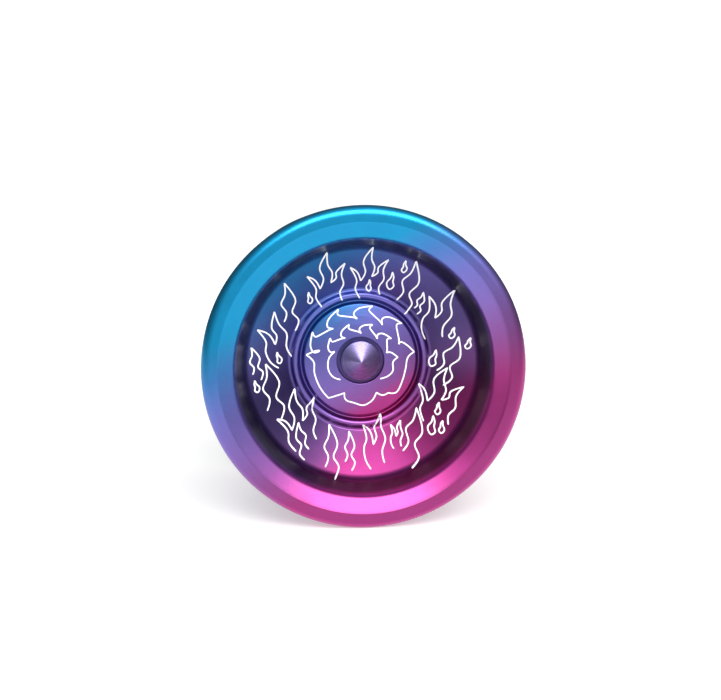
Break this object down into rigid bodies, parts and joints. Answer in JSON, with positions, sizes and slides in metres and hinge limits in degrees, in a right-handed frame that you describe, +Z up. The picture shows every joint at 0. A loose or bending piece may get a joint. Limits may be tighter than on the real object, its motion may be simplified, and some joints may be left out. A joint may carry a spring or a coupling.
{
  "type": "yo-yo",
  "caption": "Ball-bearing yo-yo: two turned aluminium halves with deep cups and a centre cone, joined by a threaded axle with a bearing between them.",
  "frame": {"origin": "centre of the yo-yo, on the axle, midway between the two halves", "axes": "+Y along the axle, towards the rear half; the front half faces -Y; +Z up, with the yo-yo standing on both rims"},
  "size_m": [0.055, 0.041, 0.055],
  "materials": {
    "anodised_aluminium": "bead-blasted and fade-anodised, cyan through violet to magenta, with a bare engraved flame pattern in the cup",
    "black_steel": "black oxide alloy steel",
    "silicone": "translucent white silicone",
    "bearing_steel": "ground stainless steel",
    "cage_steel": "stamped stainless steel",
    "polished_steel": "polished chrome steel"
  },
  "bodies": {
    "rear_half": {"half_rear": "anodised_aluminium", "response_pad_rear": "silicone", "axle_screw": "black_steel"},
    "bearing_core": {"bearing_inner_race": "bearing_steel"},
    "front_half": {"half_front": "anodised_aluminium", "response_pad_front": "silicone"},
    "outer_race": {"bearing_outer_race": "bearing_steel", "shield_front": "bearing_steel", "shield_rear": "bearing_steel", "shield_clip_front": "polished_steel", "shield_clip_rear": "polished_steel"},
    "ball_cage": {"bearing_cage": "cage_steel"},
    "ball_01_body": {"ball_01": "polished_steel"},
    "ball_02_body": {"ball_02": "polished_steel"},
    "ball_03_body": {"ball_03": "polished_steel"},
    "ball_04_body": {"ball_04": "polished_steel"},
    "ball_05_body": {"ball_05": "polished_steel"},
    "ball_06_body": {"ball_06": "polished_steel"},
    "ball_07_body": {"ball_07": "polished_steel"},
    "ball_08_body": {"ball_08": "polished_steel"},
    "ball_09_body": {"ball_09": "polished_steel"},
    "ball_10_body": {"ball_10": "polished_steel"}
  },
  "joints": [
    {"name": "front_half_travel", "type": "slide", "parent": "rear_half", "child": "bearing_core", "axis": [0, -1, 0], "range_m": [0, 0.0056]},
    {"name": "front_half_unscrew", "type": "hinge", "parent": "bearing_core", "child": "front_half", "pos_m": [0, 0, 0], "axis": [0, -1, 0], "range_deg": [0, 2880]},
    {"name": "bearing_spin", "type": "hinge", "parent": "bearing_core", "child": "outer_race", "pos_m": [0, 0, 0], "axis": [0, 1, 0], "continuous": true},
    {"name": "ball_cage_orbit", "type": "hinge", "parent": "bearing_core", "child": "ball_cage", "pos_m": [0, 0, 0], "axis": [0, 1, 0], "continuous": true},
    {"name": "ball_01_roll", "type": "hinge", "parent": "ball_cage", "child": "ball_01_body", "pos_m": [0.00453, 0, -0.00147], "axis": [0, 1, 0], "continuous": true},
    {"name": "ball_02_roll", "type": "hinge", "parent": "ball_cage", "child": "ball_02_body", "pos_m": [0.0028, 0, -0.00385], "axis": [0, 1, 0], "continuous": true},
    {"name": "ball_03_roll", "type": "hinge", "parent": "ball_cage", "child": "ball_03_body", "pos_m": [0, 0, -0.00476], "axis": [0, 1, 0], "continuous": true},
    {"name": "ball_04_roll", "type": "hinge", "parent": "ball_cage", "child": "ball_04_body", "pos_m": [-0.0028, 0, -0.00385], "axis": [0, 1, 0], "continuous": true},
    {"name": "ball_05_roll", "type": "hinge", "parent": "ball_cage", "child": "ball_05_body", "pos_m": [-0.00453, 0, -0.00147], "axis": [0, 1, 0], "continuous": true},
    {"name": "ball_06_roll", "type": "hinge", "parent": "ball_cage", "child": "ball_06_body", "pos_m": [-0.00453, 0, 0.00147], "axis": [0, 1, 0], "continuous": true},
    {"name": "ball_07_roll", "type": "hinge", "parent": "ball_cage", "child": "ball_07_body", "pos_m": [-0.0028, 0, 0.00385], "axis": [0, 1, 0], "continuous": true},
    {"name": "ball_08_roll", "type": "hinge", "parent": "ball_cage", "child": "ball_08_body", "pos_m": [0, 0, 0.00476], "axis": [0, 1, 0], "continuous": true},
    {"name": "ball_09_roll", "type": "hinge", "parent": "ball_cage", "child": "ball_09_body", "pos_m": [0.0028, 0, 0.00385], "axis": [0, 1, 0], "continuous": true},
    {"name": "ball_10_roll", "type": "hinge", "parent": "ball_cage", "child": "ball_10_body", "pos_m": [0.00453, 0, 0.00147], "axis": [0, 1, 0], "continuous": true}
  ],
  "couplings": [
    {"joint": "front_half_travel", "follows": "front_half_unscrew", "m_per_rad": 0.00011141},
    {"joint": "ball_cage_orbit", "follows": "bearing_spin", "ratio": 0.58336},
    {"joint": "ball_01_roll", "follows": "bearing_spin", "ratio": 2.9157},
    {"joint": "ball_02_roll", "follows": "bearing_spin", "ratio": 2.9157},
    {"joint": "ball_03_roll", "follows": "bearing_spin", "ratio": 2.9157},
    {"joint": "ball_04_roll", "follows": "bearing_spin", "ratio": 2.9157},
    {"joint": "ball_05_roll", "follows": "bearing_spin", "ratio": 2.9157},
    {"joint": "ball_06_roll", "follows": "bearing_spin", "ratio": 2.9157},
    {"joint": "ball_07_roll", "follows": "bearing_spin", "ratio": 2.9157},
    {"joint": "ball_08_roll", "follows": "bearing_spin", "ratio": 2.9157},
    {"joint": "ball_09_roll", "follows": "bearing_spin", "ratio": 2.9157},
    {"joint": "ball_10_roll", "follows": "bearing_spin", "ratio": 2.9157}
  ]
}
